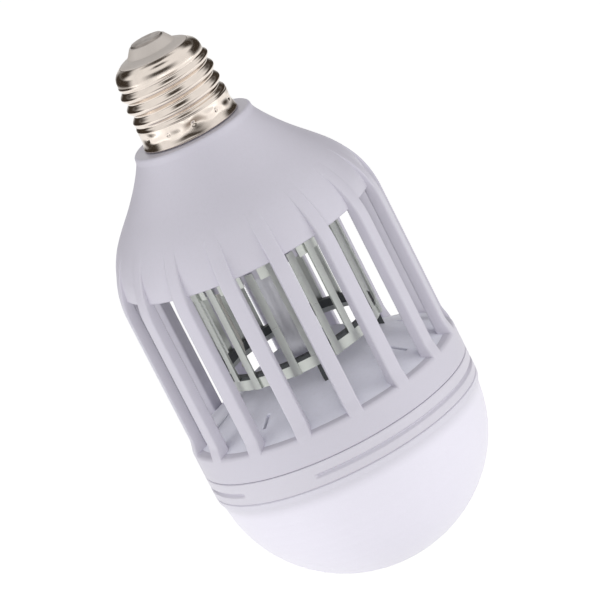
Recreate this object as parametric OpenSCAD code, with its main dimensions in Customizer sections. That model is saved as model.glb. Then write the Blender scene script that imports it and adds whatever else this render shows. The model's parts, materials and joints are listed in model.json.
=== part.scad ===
// Insect killer light bulb: an E27 lamp with a ribbed cage round a high-voltage grid
// and a frosted globe with white light below it. Millimetres, cap upwards, hung by its cap.
// The origin is on the axis, at the foot of the cap's smooth skirt. d values count down from there.

/* [Screw cap] */
// Radius of the smooth skirt of the cap
skirt_r = 13.25; // [13:0.05:13.3]
// Height of the smooth skirt
skirt_h = 5.4; // [4:0.1:7]
// Radius over the thread crests
crest_r = 13.2; // [13:0.05:13.25]
// Depth of the rolled thread
thread_depth = 1.1; // [0.8:0.05:1.2]
// Pitch of the thread
thread_pitch = 3.629; // [3.4:0.001:3.8]
// Turns of thread on the shell
thread_turns = 3.5; // [3:0.1:4.2]
// Thickness of the rolled shell
shell_wall = 0.4; // [0.3:0.05:0.6]
// Radius at the foot of the shell's dome
dome_r = 12.4; // [12:0.1:12.8]
// Height of the shell's domed shoulder above the thread
dome_h = 5.2; // [3:0.1:6]
// Radius of the shell's mouth round the insulator
dome_mouth_r = 7.8; // [7.6:0.1:10]
// Height of the insulator cone above the shell's mouth
cone_h = 2.5; // [2:0.1:5]
// Radius at the top of the insulator cone
cone_top_r = 5.3; // [4.5:0.1:6]
// Radius of the centre contact
contact_r = 4.7; // [3:0.1:5]
// Height of the contact above the insulator
contact_rise = 0.5; // [0.3:0.1:1]

/* [Housing] */
// Outer radius over the ribs
cage_r = 38.4; // [36:0.1:42]
// Wall thickness of the housing
wall = 2; // [1.6:0.1:2.6]
// Radius at the top of the neck
neck_r = 17.1; // [16:0.1:20]
// Depth of the neck's top face below the skirt foot
neck_top_d = 0.8; // [0.5:0.1:2]
// Depth of the steepest point of the shoulder
flare_d = 14.8; // [12:0.1:18]
// Radius of the steepest point of the shoulder
flare_r = 26.2; // [24:0.1:30]
// Depth of the full radius below the window tops
shoulder_drop = 5.2; // [3:0.1:8]
// Depth of the window tops
window_top_d = 33.8; // [31:0.1:36]
// How far the shoulder wall lies behind the ribs at the window tops
recess = 1.5; // [1:0.1:2.2]
// Height of the windows
window_h = 45.5; // [38:0.1:54]
// Height of the band below the windows
band_h = 8.2; // [6:0.1:11]
// How far the band stands out beyond the ribs
band_step = 0.8; // [0.4:0.1:1.5]
// Number of ribs
rib_n = 16; // [12:2:20]
// Width of a rib along the cage
rib_w = 4.2; // [3.5:0.1:5.5]
// Depth of a rib towards the axis
rib_t = 3.3; // [2.6:0.1:4.5]
// Angle of the first rib
rib_phase = 11.25; // [0:0.25:22.5]

/* [Grid] */
// Air gap between the grid bars and the ribs
insect_gap = 11.3; // [9:0.1:13]
// Number of grid bars, live and neutral together
bar_n = 24; // [16:4:30]
// Width of a grid bar
bar_w = 2.1; // [1.5:0.1:2.6]
// Thickness of a grid bar
bar_t = 0.6; // [0.4:0.1:1]
// Angle of the first grid bar
bar_phase = 9; // [0:0.5:15]
// Depth of the upper ring's top edge below the driver's cover
upper_ring_drop = 2.5; // [2:0.1:6]
// Height of the upper ring
upper_ring_h = 5.8; // [5:0.1:7]
// Height of the closed strip along the upper ring's top edge
ring_strip_h = 1.5; // [1:0.1:2]
// Height of the lower ring's lower edge above the top of the deck
ring_lift = 0.6; // [0.4:0.1:2]
// Height of the lower ring
lower_ring_h = 3; // [2:0.1:4]
// Height of the dark insulating rim on the lower ring
rim_h = 1; // [0.8:0.1:2.5]
// Thickness of the ring strip
ring_t = 0.6; // [0.4:0.1:1]
// Radial width of the upper insulating carrier
carrier_w = 5.6; // [4:0.1:7]
// Radial width of the dark insulating rim
rim_w = 1.5; // [1:0.1:3]
// Air gap between a bar's free end and the ring of the other pole
spark_gap = 1.4; // [1:0.1:2.5]
// Outer radius of the wire column
column_r = 4.9; // [4:0.1:6]
// Wall of the wire column
column_wall = 1; // [0.8:0.1:1.5]

/* [Catch deck] */
// Radius of the flat top of the deck
deck_top_r = 12.5; // [10:0.1:15]
// Height of the deck's cone
deck_h = 10.5; // [7:0.1:12]
// Thickness of the deck
deck_t = 1.6; // [1.2:0.1:2.2]
// Number of drain slits in the deck
slit_n = 8; // [4:1:12]
// Gap between a drain slit and the edge of the deck
slit_gap = 5.9; // [4:0.1:7]
// Length of a drain slit
slit_l = 4.8; // [3:0.1:6]
// Width of a drain slit
slit_w = 0.9; // [0.7:0.1:1.6]
// Angle of the first drain slit
slit_phase = 11.5; // [0:0.5:45]
// Width of the dark rim's legs
leg_w = 1.2; // [1:0.1:2.4]

/* [Globe end] */
// Height of the base ring below the band
base_ring_h = 6.5; // [5:0.1:8]
// Depth of the base ring's grip groove below the band
groove_drop = 3; // [2:0.1:4]
// Height of the grip groove
groove_h = 0.8; // [0.4:0.1:1.2]
// How far the grip groove is cut into the ring
groove_t = 0.6; // [0.3:0.1:0.9]
// Angle of each of the two lands that interrupt the groove
land_angle = 35; // [20:1:60]
// Angle of the middle of the first land
land_phase = 238; // [180:0.5:270]
// Height of the globe's collar below the base ring
collar_h = 1.6; // [1:0.1:3]
// How far the globe's bulb lies inside the radius over the ribs
globe_inset = 0.1; // [0:0.1:1]
// Height of the globe's dome below its centre
globe_h = 37.2; // [34:0.1:42]
// Wall thickness of the globe
globe_wall = 1.5; // [1.2:0.1:2]
// Gap between the light board and the globe's spigot
led_board_gap = 1.05; // [0.6:0.05:3]
// Thickness of the light board
led_board_t = 1.6; // [1:0.1:2]
// Thickness of the heat plate
heat_plate_t = 1.5; // [1:0.1:2]
// Light chips on the outer circle of the light board
led_n = 14; // [10:1:18]

/* [Driver] */
// Width of the driver board
driver_w = 25; // [22:0.5:26]
// Gap between the neck's top face and the driver board
driver_gap = 3.8; // [3:0.1:6]
// Thickness of the driver board
driver_t = 1.6; // [1:0.1:2]
// Thickness of the plate that closes the driver compartment
cover_t = 2; // [1.6:0.1:2.6]
// Radius of the main capacitor
cap_r = 4; // [3:0.1:5]
// Length of the main capacitor
cap_l = 11; // [9:0.5:14]
// Radius of the inductor's flanges
coil_r = 4; // [3:0.1:5]
// Height of the inductor
coil_h = 7; // [5:0.5:8]
// Number of diodes and of film capacitors that raise the grid voltage
stage_n = 3; // [2:1:4]
// Diameter of the insulated leads
lead_d = 1.4; // [1:0.1:2]
// Number of ultraviolet lights
uv_n = 4; // [3:1:6]

/* [Hidden] */
$fn = 96;
fit = 0.15;                                  // clearance between mouldings that slip into each other
seat = 0.02;                                 // overlap that joins the forms of one solid
curve_n = 12;                                // steps of each curved stretch of an outline
thread_start = skirt_h;                      // height of the thread's lower end
thread_end = thread_start + thread_turns * thread_pitch;
dome_end = thread_end + dome_h;              // height of the shell's mouth
cone_end = dome_end + cone_h;
root_r = crest_r - thread_depth;

// Point at t on the cubic curve with the four control points p
function bezier(p, t) = pow(1 - t, 3) * p[0] + 3 * t * pow(1 - t, 2) * p[1]
    + 3 * t * t * (1 - t) * p[2] + t * t * t * p[3];
function curve(p, n = curve_n) = [for (i = [0:n]) bezier(p, i / n)];

// The shoulder's outline, from the neck to the flare and from the flare to the full radius
flare_slope = 0.5;                           // control points' share of the way, at the flare
neck_curve = [[neck_r, neck_top_d + 1.6], [neck_r + 1.3, neck_top_d + 4.8],
    [flare_r - 3.2, flare_d - 3.4], [flare_r, flare_d]];
shoulder_d = window_top_d + shoulder_drop;   // depth at which the shoulder reaches the full radius
bell_curve = [[flare_r, flare_d], [flare_r + 4.9, flare_d + 5.2],
    [cage_r, shoulder_d - 12.4], [cage_r, shoulder_d]];
// Outer radius at depth d, read along the bell curve
function outer_r(d) = d >= shoulder_d ? cage_r
    : lookup(d, [for (p = concat(curve(neck_curve), curve(bell_curve))) [p[1], p[0]]]);
recess_start_d = flare_d + 6.4;
function recess_at(d) = recess * pow(max(0, (d - recess_start_d) / (window_top_d - recess_start_d)), 1.4);

band_top_d = window_top_d + window_h;
band_end_d = band_top_d + band_h;
base_ring_end_d = band_end_d + base_ring_h;
collar_end_d = base_ring_end_d + collar_h;
globe_d = collar_end_d;                      // depth of the globe's centre
globe_r = cage_r - globe_inset;
band_r = cage_r + band_step;
band_in_r = band_r - wall - 0.4;             // bore of the band
cage_in_r = cage_r - rib_t;                  // inner face of the ribs
cover_d = window_top_d - 1.8;                // underside of the driver cover
driver_h = cover_d - cover_t - neck_top_d - driver_gap;
cover_seat_r = outer_r(cover_d - cover_t) - recess_at(cover_d - cover_t) - wall - fit;
upper_ring_top_d = cover_d + upper_ring_drop;
upper_ring_d = upper_ring_top_d + upper_ring_h;
deck_edge_r = band_in_r - fit;
deck_edge_d = band_top_d - 0.2;
deck_top_d = deck_edge_d - deck_h;
lower_ring_d = deck_top_d - ring_lift;
lower_carrier_d = lower_ring_d - lower_ring_h;  // depth at which the dark rim meets the metal ring
grid_r = cage_in_r - insect_gap - bar_t;     // outer radius of the grid rings
carrier_out_r = grid_r - ring_t;
carrier_in_r = carrier_out_r - carrier_w;
plate_d = band_end_d - 0.4;                  // underside of the heat plate
board_d = plate_d + led_board_t;             // underside of the light board
bore_r = column_r - column_wall;             // wire hole through cover, column and deck
led_size = [2.8, 3.5, 0.8];                  // one light chip
base_in_r = band_in_r - 0.6;
spigot_r = base_in_r - fit;                  // outer radius of the globe's spigot inside the base ring
led_board_r = spigot_r - globe_wall - led_board_gap;
screw_r = 1.25;                              // thread radius of the self-tapping screws
screw_head_r = 2.4;
screw_head_h = 1.5;
cover_screw_ring = (carrier_in_r + carrier_out_r) / 2 - 0.3;
board_screw_ring = led_board_r - 6.5;
grid_lead_r = carrier_in_r - 4;              // where the grid leads pass through cover and light board

// Turns a profile of [radius, depth] points into a solid of revolution
module turned(points) rotate_extrude() polygon([for (p = points) [p[0], -p[1]]]);
module ring(r_out, r_in, top_d, end_d) turned([[r_in, top_d], [r_out, top_d], [r_out, end_d], [r_in, end_d]]);
module around(n, phase = 0) for (i = [0:n - 1]) rotate(phase + i * 360 / n) children();
module screw(at, turn = 0) translate(at) rotate([turn, 0, 0]) {
    cylinder(r = screw_r, h = 6, $fn = 24);
    translate([0, 0, -screw_head_h]) difference() {
        cylinder(r = screw_head_r, h = screw_head_h + seat, $fn = 32);
        translate([0, 0, 0.5]) cube([0.7, 3, 1.6], center = true);
        translate([0, 0, 0.5]) cube([3, 0.7, 1.6], center = true);
    }
}

// A round lead through the points of path, as one closed tube
function unit(v) = v / norm(v);
function heading(path, i) = unit(path[min(i + 1, len(path) - 1)] - path[max(i - 1, 0)]);
function smooth_path(p, per = 3) = [for (i = [0:len(p) - 2]) for (k = [0:per - 1]) let (t = k / per,
    a = p[max(i - 1, 0)], b = p[i], c = p[i + 1], e = p[min(i + 2, len(p) - 1)])
    0.5 * (2 * b + (c - a) * t + (2 * a - 5 * b + 4 * c - e) * t * t + (3 * b - a - 3 * c + e) * t * t * t),
    p[len(p) - 1]];
module lead(points, d = lead_d, sides = 8) {
    path = smooth_path(points);
    n = len(path);
    rings = [for (i = [0:n - 1]) let (h = heading(path, i), s = abs(h[1]) > 0.9 ? [1, 0, 0] : [0, 1, 0],
        x = unit(cross(s, h)), y = cross(h, x))
        for (k = [0:sides - 1]) path[i] + d / 2 * (cos(k * 360 / sides) * x + sin(k * 360 / sides) * y)];
    sides_faces = [for (i = [0:n - 2]) for (k = [0:sides - 1]) let (a = i * sides + k,
        b = i * sides + (k + 1) % sides) [a, a + sides, b + sides, b]];
    polyhedron(rings, concat([[for (k = [0:sides - 1]) k]], sides_faces,
        [[for (k = [sides - 1:-1:0]) (n - 1) * sides + k]]));
}

pin_h = 2.2;                                 // length and radius of the contact's pin in the insulator
pin_r = 1.4;
plug_h = 1.5;                                // length of the insulator's plug inside the shell
module centre_contact() color([0.72, 0.70, 0.66]) union() {
    translate([0, 0, cone_end]) cylinder(r1 = contact_r, r2 = contact_r - 0.3, h = contact_rise);
    translate([0, 0, cone_end - pin_h]) cylinder(r = pin_r, h = pin_h + seat, $fn = 32);
}

dome_outer = curve([[dome_r, -thread_end], [dome_r, -thread_end - 1.9], [dome_mouth_r + 3, -dome_end + 0.2],
    [dome_mouth_r, -dome_end]], 10);
dome_inner = curve([[dome_mouth_r, -dome_end + shell_wall], [dome_mouth_r + 2.8, -dome_end + shell_wall + 0.2],
    [dome_r - shell_wall, -thread_end - 1.6], [dome_r - shell_wall, -thread_end]], 8);
module cap_insulator() color([0.71, 0.70, 0.69]) difference() {
    turned(concat([[0, -cone_end], [cone_top_r - 0.4, -cone_end], [cone_top_r - 0.1, -cone_end + 0.1],
            [cone_top_r, -cone_end + 0.4]],
        [[dome_mouth_r - fit - 0.5, -dome_end - 0.5], [dome_mouth_r - fit, -dome_end],
         [dome_mouth_r - fit, -dome_end + shell_wall + 0.3]],
        [for (p = dome_inner) if (p[0] > dome_mouth_r + 0.5) [p[0] - fit, p[1] + fit]],
        [[dome_r - shell_wall - fit, -thread_end + plug_h], [0, -thread_end + plug_h]]));
    translate([0, 0, cone_end - pin_h]) cylinder(r = pin_r, h = pin_h + 1, $fn = 32);
    translate([0, 0, thread_end - plug_h - 1]) cylinder(r = lead_d / 2 + 0.05, h = cone_end - thread_end + plug_h, $fn = 24);
}

// The rolled thread: the radius swings between crest and root with the height above the turn's own start
thread_sides = 40;
thread_rows = 9;                             // rows of points on each turn
function thread_fade(z) = min(1, (z - thread_start) / (thread_pitch / 2), (thread_end - z) / (thread_pitch / 2));
function thread_r(z, a) = let (w = 0.5 + 0.5 * cos(360 * (z - thread_start) / thread_pitch - a),
    wave = crest_r - thread_depth * (1 - pow(w, 0.8)), plain = z < skirt_h * 2 ? crest_r : dome_r,
    f = max(0, thread_fade(z))) wave * f + plain * (1 - f);
module rolled_thread() {
    rows = ceil(thread_turns * thread_rows);
    overlap = 0.6;                           // length and depth by which the ends sink into skirt and dome
    sink = 0.12;
    zs = concat([thread_start - overlap], [for (i = [0:rows]) thread_start + (thread_end - thread_start) * i / rows],
        [thread_end + overlap]);
    n = len(zs);
    function ends(i) = i == 0 || i == n - 1 ? sink : 0;
    function wave(i, a) = thread_r(min(max(zs[i], thread_start), thread_end), a) - 0.06;
    outer = [for (i = [0:n - 1]) for (k = [0:thread_sides - 1]) let (a = k * 360 / thread_sides,
        r = wave(i, a) - ends(i)) [r * cos(a), r * sin(a), zs[i]]];
    inner = [for (i = [0:n - 1]) for (k = [0:thread_sides - 1]) let (a = k * 360 / thread_sides,
        r = wave(i, a) - shell_wall + sink + ends(i) / 2) [r * cos(a), r * sin(a), zs[i]]];
    m = n * thread_sides;
    function at(i, k) = i * thread_sides + k % thread_sides;
    polyhedron(concat(outer, inner), concat(
        [for (i = [0:n - 2]) for (k = [0:thread_sides - 1]) for (f = [[at(i, k), at(i + 1, k + 1), at(i, k + 1)],
            [at(i, k), at(i + 1, k), at(i + 1, k + 1)]]) f],
        [for (i = [0:n - 2]) for (k = [0:thread_sides - 1]) for (f = [[m + at(i, k), m + at(i, k + 1), m + at(i + 1, k + 1)],
            [m + at(i, k), m + at(i + 1, k + 1), m + at(i + 1, k)]]) f],
        [for (k = [0:thread_sides - 1]) [at(0, k), at(0, k + 1), m + at(0, k + 1), m + at(0, k)]],
        [for (k = [0:thread_sides - 1]) [at(n - 1, k), m + at(n - 1, k), m + at(n - 1, k + 1), at(n - 1, k + 1)]]));
}
module screw_shell() color([0.85, 0.82, 0.76]) union() {
    rolled_thread();
    turned([[skirt_r - shell_wall, 0.5], [skirt_r + 0.25, 0.5], [skirt_r + 0.25, 0.2], [skirt_r, 0],
        [skirt_r, -skirt_h], [skirt_r - shell_wall, -skirt_h]]);
    turned(concat(dome_outer, dome_inner));
}

// The moulding: neck, bell shoulder, ribs and band in one piece
shoulder_steps = [for (i = [0:curve_n]) recess_start_d + (window_top_d - recess_start_d) * i / curve_n];
module shoulder_wall() turned(concat(
    [[skirt_r - shell_wall - fit - 1.2, -skirt_h + 1], [skirt_r - shell_wall - fit, -skirt_h + 1],
     [skirt_r - shell_wall - fit, neck_top_d], [neck_r - 1.5, neck_top_d], [neck_r - 0.5, neck_top_d + 0.5]],
    curve(neck_curve),
    [for (p = curve(bell_curve)) if (p[1] > flare_d && p[1] < recess_start_d) p],
    [for (d = shoulder_steps) [outer_r(d) - recess_at(d), d]],
    [for (i = [curve_n:-1:0]) let (d = shoulder_steps[i]) [outer_r(d) - recess_at(d) - wall, d]],
    [for (i = [curve_n:-1:2]) let (p = curve(neck_curve)[i]) [p[0] - wall, p[1] + 0.6]],
    [[skirt_r - shell_wall - fit - 1.2, neck_top_d + 3]]));
module rib_ring() turned(concat(
    [for (p = curve(bell_curve)) if (p[1] > recess_start_d - 3) p],
    [[cage_r, band_top_d + 1], [band_in_r + 0.3, band_top_d + 1], [band_in_r + 0.3, deck_edge_d - fit],
     [cage_in_r, deck_at(cage_in_r) - fit], [cage_in_r, window_top_d - 2],
     [outer_r(recess_start_d - 1) - rib_t, recess_start_d - 1]]));
module cage_housing() color([0.80, 0.79, 0.83]) union() {
    shoulder_wall();
    intersection() {
        rib_ring();
        for (i = [0:rib_n / 2 - 1]) rotate(rib_phase + i * 360 / rib_n)
            translate([0, 0, -(band_top_d + 1) / 2]) cube([2 * band_r, rib_w, band_top_d + 1], center = true);
    }
    turned([[band_in_r, deck_edge_d], [cage_r - 0.8, band_top_d - 0.1], [cage_r, band_top_d],
        [band_r - 0.1, band_top_d + 0.6], [band_r, band_top_d + 1.6], [band_r, band_end_d - 0.2],
        [band_r - 0.25, band_end_d], [band_in_r, band_end_d]]);
}

module driver_cover() color([0.78, 0.77, 0.80]) difference() {
    ring(cover_seat_r, bore_r, cover_d - cover_t, cover_d);
    around(3, 90) translate([cover_screw_ring, 0, -cover_d - 1]) cylinder(r = screw_r + fit, h = cover_t + 2, $fn = 24);
    around(2) translate([grid_lead_r, 0, -cover_d - 1]) cylinder(r = lead_d / 2 + fit, h = cover_t + 2, $fn = 24);
}
module cover_screws() color([0.75, 0.75, 0.74]) around(3, 90) screw([cover_screw_ring, 0, -cover_d]);

module driver_board() color([0.20, 0.42, 0.28])
    translate([-driver_w / 2, -driver_t / 2, -cover_d + cover_t]) cube([driver_w, driver_t, driver_h]);
board_face = driver_t / 2;
module main_capacitor() color([0.16, 0.18, 0.24])
    translate([3, board_face + cap_r, -cover_d + cover_t + 2]) union() {
        cylinder(r = cap_r, h = cap_l, $fn = 48);
        translate([0, 0, cap_l]) cylinder(r1 = cap_r - 0.1, r2 = cap_r - 0.5, h = 0.4, $fn = 48);
    }
module film_capacitors() color([0.72, 0.30, 0.12]) for (i = [0:stage_n - 1])
    translate([-10.5 + i * 4.4, -board_face - 5, -cover_d + cover_t + 3]) cube([3.2, 5, 7]);
module voltage_diodes() color([0.14, 0.14, 0.15]) for (i = [0:stage_n - 1])
    translate([-8.9 + i * 4.4, -board_face - 1.3, -cover_d + cover_t + 12]) cylinder(r = 1.3, h = 4.2, $fn = 24);
module rectifier_bridge() color([0.12, 0.12, 0.13])
    translate([-8.5, board_face, -cover_d + cover_t + 3]) cube([6, 2.6, 5]);
module inductor_core() color([0.22, 0.21, 0.21])
    translate([-6, board_face + coil_r, -cover_d + cover_t + 11]) {
        cylinder(r = coil_r / 2, h = coil_h, $fn = 32);
        cylinder(r = coil_r, h = 1, $fn = 48);
        translate([0, 0, coil_h - 1]) cylinder(r = coil_r, h = 1, $fn = 48);
    }
module inductor_winding() color([0.66, 0.36, 0.18])
    translate([-6, board_face + coil_r, -cover_d + cover_t + 12]) difference() {
        cylinder(r = coil_r - 0.4, h = coil_h - 2, $fn = 48);
        translate([0, 0, -1]) cylinder(r = coil_r / 2, h = coil_h, $fn = 32);
    }
module fuse_resistor() color([0.35, 0.52, 0.44])
    translate([5.5, -board_face - 1.5, -cover_d + cover_t + 8]) cylinder(r = 1.5, h = 7, $fn = 32);
module driver_chip() color([0.10, 0.10, 0.11])
    translate([6.5, -board_face - 1.6, -cover_d + cover_t + 1.5]) cube([4, 1.6, 5]);

// Routes of the leads, chosen by hand
live_route = [[0, 0, cone_end - pin_h], [0, 0, 17], [0, 2, 10], [3, 5, 2], [8, 5, -5], [10, 3, -9], [10, 1.5, -11.5]];
neutral_route = [[-11.9, 0, 3], [-11.2, 1, 0], [-10.5, 3, -5], [-10, 3, -9], [-10, 1.5, -11.5]];
light_route_a = [[1.6, 1.5, 1 - cover_d], [1.6, 0, -cover_d - 4], [1.6, 0, -cover_d - 20],
    [1.6, 0, -deck_top_d], [1.6, 0, 10 - board_d], [1.6, 0, 0.3 - board_d]];
light_route_b = [for (p = light_route_a) [-p[0], p[1], p[2]]];
grid_route_live = [[grid_lead_r, -1.5, 3 - cover_d], [grid_lead_r, 0, 1 - cover_d], [grid_lead_r, 0, -cover_d - 1.4],
    [grid_lead_r + 1, 0, -cover_d - 3], [grid_lead_r + 2, 0, -upper_ring_top_d - 0.2],
    [carrier_in_r - 0.6, 0, -upper_ring_top_d - 0.9]];
grid_route_neutral = [[-grid_lead_r, -1.5, 3 - cover_d], [-grid_lead_r, 0, 1 - cover_d],
    [-grid_lead_r, 0, -cover_d - 4], [-grid_lead_r - 1.5, 1, -cover_d - 16],
    [-grid_lead_r - 1.5, 1, 8 - lower_ring_d], [0.8 - carrier_in_r, 0, 2 - lower_ring_d]];
module live_lead() color([0.70, 0.12, 0.10]) lead(live_route);
module neutral_lead() color([0.12, 0.16, 0.50]) lead(neutral_route);
module light_leads() color([0.85, 0.80, 0.60]) { lead(light_route_a); lead(light_route_b); }
module grid_leads() color([0.88, 0.87, 0.84]) { lead(grid_route_live); lead(grid_route_neutral); }

// Grid: the live bars hang from the upper ring, the neutral bars stand on the lower one
module upper_carrier() color([0.78, 0.77, 0.80]) difference() {
    ring(carrier_out_r, carrier_in_r, cover_d, upper_ring_d - 0.6);
    around(3, 90) translate([cover_screw_ring, 0, -upper_ring_d]) cylinder(r = screw_head_r + fit, h = upper_ring_d - cover_d + 1, $fn = 32);
}
strip_end_d = upper_ring_top_d + ring_strip_h;
module grid_upper_ring() color([0.80, 0.82, 0.78]) difference() {
    ring(grid_r, carrier_out_r, upper_ring_top_d, upper_ring_d);
    around(bar_n / 2, bar_phase + 360 / bar_n) translate([grid_r - 2, -bar_w / 2 - spark_gap, -upper_ring_d - 1])
        cube([4, bar_w + 2 * spark_gap, upper_ring_d + 1 - strip_end_d]);
}
module bars(first, top_d, end_d) around(bar_n / 2, bar_phase + first * 360 / bar_n)
    translate([grid_r, -bar_w / 2, -end_d]) cube([bar_t, bar_w, end_d - top_d]);
module live_bars() color([0.80, 0.82, 0.78]) bars(0, upper_ring_top_d, lower_carrier_d - 0.2);
module neutral_bars() color([0.80, 0.82, 0.78]) bars(1, strip_end_d + spark_gap, lower_ring_d);
module grid_lower_ring() color([0.82, 0.84, 0.79]) ring(grid_r, carrier_out_r, lower_carrier_d, lower_ring_d);
rim_tongue = 1.2;                            // height of the dark rim's tongue inside the metal ring
module lower_carrier() color([0.18, 0.20, 0.21]) union() {
    ring(grid_r, carrier_out_r - rim_w, lower_carrier_d - rim_h, lower_carrier_d);
    ring(carrier_out_r, carrier_out_r - rim_w, lower_carrier_d - seat, lower_carrier_d + rim_tongue);
    intersection() {
        turned([[carrier_out_r - rim_w, lower_carrier_d], [carrier_out_r, lower_carrier_d],
            [carrier_out_r, deck_at(carrier_out_r)], [carrier_out_r - rim_w, deck_at(carrier_out_r - rim_w)]]);
        around(4, bar_phase) translate([0, -leg_w / 2, -deck_edge_d]) cube([grid_r, leg_w, deck_edge_d]);
    }
}
module wire_column() color([0.56, 0.57, 0.60]) ring(column_r, bore_r, cover_d, deck_top_d);

uv_board_r = carrier_in_r - fit;
uv_ring = (uv_board_r + column_r) / 2;
module uv_board() color([0.90, 0.90, 0.88]) difference() {
    ring(uv_board_r, column_r + fit, cover_d, cover_d + 1.2);
    around(2) translate([grid_lead_r, 0, -cover_d - 3]) cylinder(r = lead_d / 2 + fit, h = 4, $fn = 24);
}
module uv_lights() color([0.55, 0.45, 0.85]) around(uv_n, 45) translate([uv_ring, 0, -cover_d - 1.2]) {
    translate([0, 0, -1]) cylinder(r = 2.4, h = 1, $fn = 32);
    translate([0, 0, -3.4]) cylinder(r = 1.9, h = 2.4 + seat, $fn = 32);
    translate([0, 0, -3.4]) intersection() {
        sphere(r = 1.9, $fn = 32);
        translate([0, 0, -2]) cube([5, 5, 4], center = true);
    }
}

// Catch deck: a flat top, a cone down to the band, a skirt inside it and bosses under it
deck_slope = (deck_edge_d - deck_top_d) / (deck_edge_r - deck_top_r);
function deck_at(r) = deck_top_d + max(0, r - deck_top_r) * deck_slope;
boss_d = plate_d - heat_plate_t;             // depth at which the bosses meet the heat plate
slit_mid_r = deck_edge_r - slit_gap - slit_l / 2;
module catch_deck() color([0.68, 0.67, 0.72]) difference() {
    union() {
        turned([[bore_r, deck_top_d], [deck_top_r, deck_top_d], [deck_edge_r, deck_edge_d], [deck_edge_r, boss_d],
            [deck_edge_r - wall, boss_d], [deck_edge_r - wall, deck_edge_d + deck_t], [deck_top_r - 0.4, deck_top_d + deck_t],
            [bore_r, deck_top_d + deck_t]]);
        around(3, 30) translate([board_screw_ring, 0, -boss_d]) cylinder(r = 3, h = boss_d - deck_at(board_screw_ring) - 1, $fn = 48);
    }
    around(slit_n, slit_phase) translate([slit_mid_r - slit_l / 2, -slit_w / 2, -deck_at(slit_mid_r) - 5]) cube([slit_l, slit_w, 10]);
    around(3, 30) translate([board_screw_ring, 0, -boss_d - 1]) cylinder(r = screw_r, h = 6, $fn = 24);
}

module heat_plate() color([0.78, 0.79, 0.80]) difference() {
    ring(deck_edge_r, 3.2, boss_d, plate_d);
    around(3, 30) translate([board_screw_ring, 0, -plate_d - 1]) cylinder(r = screw_r + fit, h = heat_plate_t + 2, $fn = 24);
}
module light_board() color([0.93, 0.93, 0.92]) difference() {
    ring(led_board_r, 3.2, plate_d, board_d);
    around(3, 30) translate([board_screw_ring, 0, -board_d - 1]) cylinder(r = screw_r + fit, h = led_board_t + 2, $fn = 24);
}
module light_chips() color([0.95, 0.88, 0.45]) {
    around(led_n) translate([led_board_r - 3.4, 0, -board_d - led_size[2] / 2]) cube(led_size, center = true);
    around(led_n / 2, 180 / led_n) translate([led_board_r / 2, 0, -board_d - led_size[2] / 2]) cube(led_size, center = true);
}
module board_screws() color([0.75, 0.75, 0.74]) around(3, 30) screw([board_screw_ring, 0, -board_d]);

// Sector of a disc, used for the two lands between the stretches of the grip groove
module sector(angle, middle, r, top_d, end_d) rotate(middle - angle / 2) translate([0, 0, -end_d])
    rotate_extrude(angle = angle) square([r, end_d - top_d]);
groove_d = band_end_d + groove_drop;
edge_bevel = 0.25;                           // small bevels that make the split lines of ring and globe
module base_ring() color([0.84, 0.83, 0.86]) difference() {
    turned([[base_in_r, band_end_d], [band_r - edge_bevel, band_end_d], [band_r, band_end_d + edge_bevel],
        [band_r, base_ring_end_d - edge_bevel], [band_r - edge_bevel, base_ring_end_d], [base_in_r, base_ring_end_d]]);
    difference() {
        turned([[band_r + 1, groove_d], [band_r - groove_t, groove_d + 0.2],
            [band_r - groove_t, groove_d + groove_h - 0.2], [band_r + 1, groove_d + groove_h]]);
        for (side = [0, 180]) sector(land_angle, land_phase + side, band_r + 2, groove_d - 1, groove_d + groove_h + 1);
    }
}
globe_join = curve([[band_r - 0.1, collar_end_d], [band_r - 0.5, collar_end_d + 0.9],
    [globe_r + 0.05, collar_end_d + 1.2], [globe_r * cos(5), globe_d + globe_h * sin(5)]], 5);
module globe() color([0.92, 0.91, 0.95]) turned(concat(
    [[spigot_r - globe_wall, board_d + 1], [spigot_r, board_d + 1], [spigot_r, base_ring_end_d],
     [band_r - edge_bevel - 0.1, base_ring_end_d], [band_r - 0.05, base_ring_end_d + edge_bevel]],
    globe_join,
    [for (i = [2:18]) [globe_r * cos(i * 5), globe_d + globe_h * sin(i * 5)]],
    [for (i = [18:-1:1]) [(globe_r - globe_wall) * cos(i * 5), globe_d + (globe_h - globe_wall) * sin(i * 5)]],
    [[spigot_r - globe_wall, base_ring_end_d + 2]]));

centre_contact();
cap_insulator();
screw_shell();
cage_housing();
driver_cover();
cover_screws();
driver_board();
main_capacitor();
film_capacitors();
rectifier_bridge();
inductor_core();
inductor_winding();
voltage_diodes();
fuse_resistor();
driver_chip();
live_lead();
neutral_lead();
upper_carrier();
grid_upper_ring();
live_bars();
neutral_bars();
grid_lower_ring();
lower_carrier();
wire_column();
uv_board();
uv_lights();
catch_deck();
light_leads();
grid_leads();
heat_plate();
light_board();
light_chips();
board_screws();
base_ring();
globe();
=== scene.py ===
"""Looks of the insect killer light bulb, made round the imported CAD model.

Every length that a function takes is in millimetres unless its name ends in _m, and every
piece is written in metres in the CAD frame: the axis is Z, the screw cap points up, and the
origin lies at the foot of the cap's smooth skirt.
"""
import json
import math

import bmesh
import bpy
import numpy as np
from mathutils import Matrix, Vector


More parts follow.
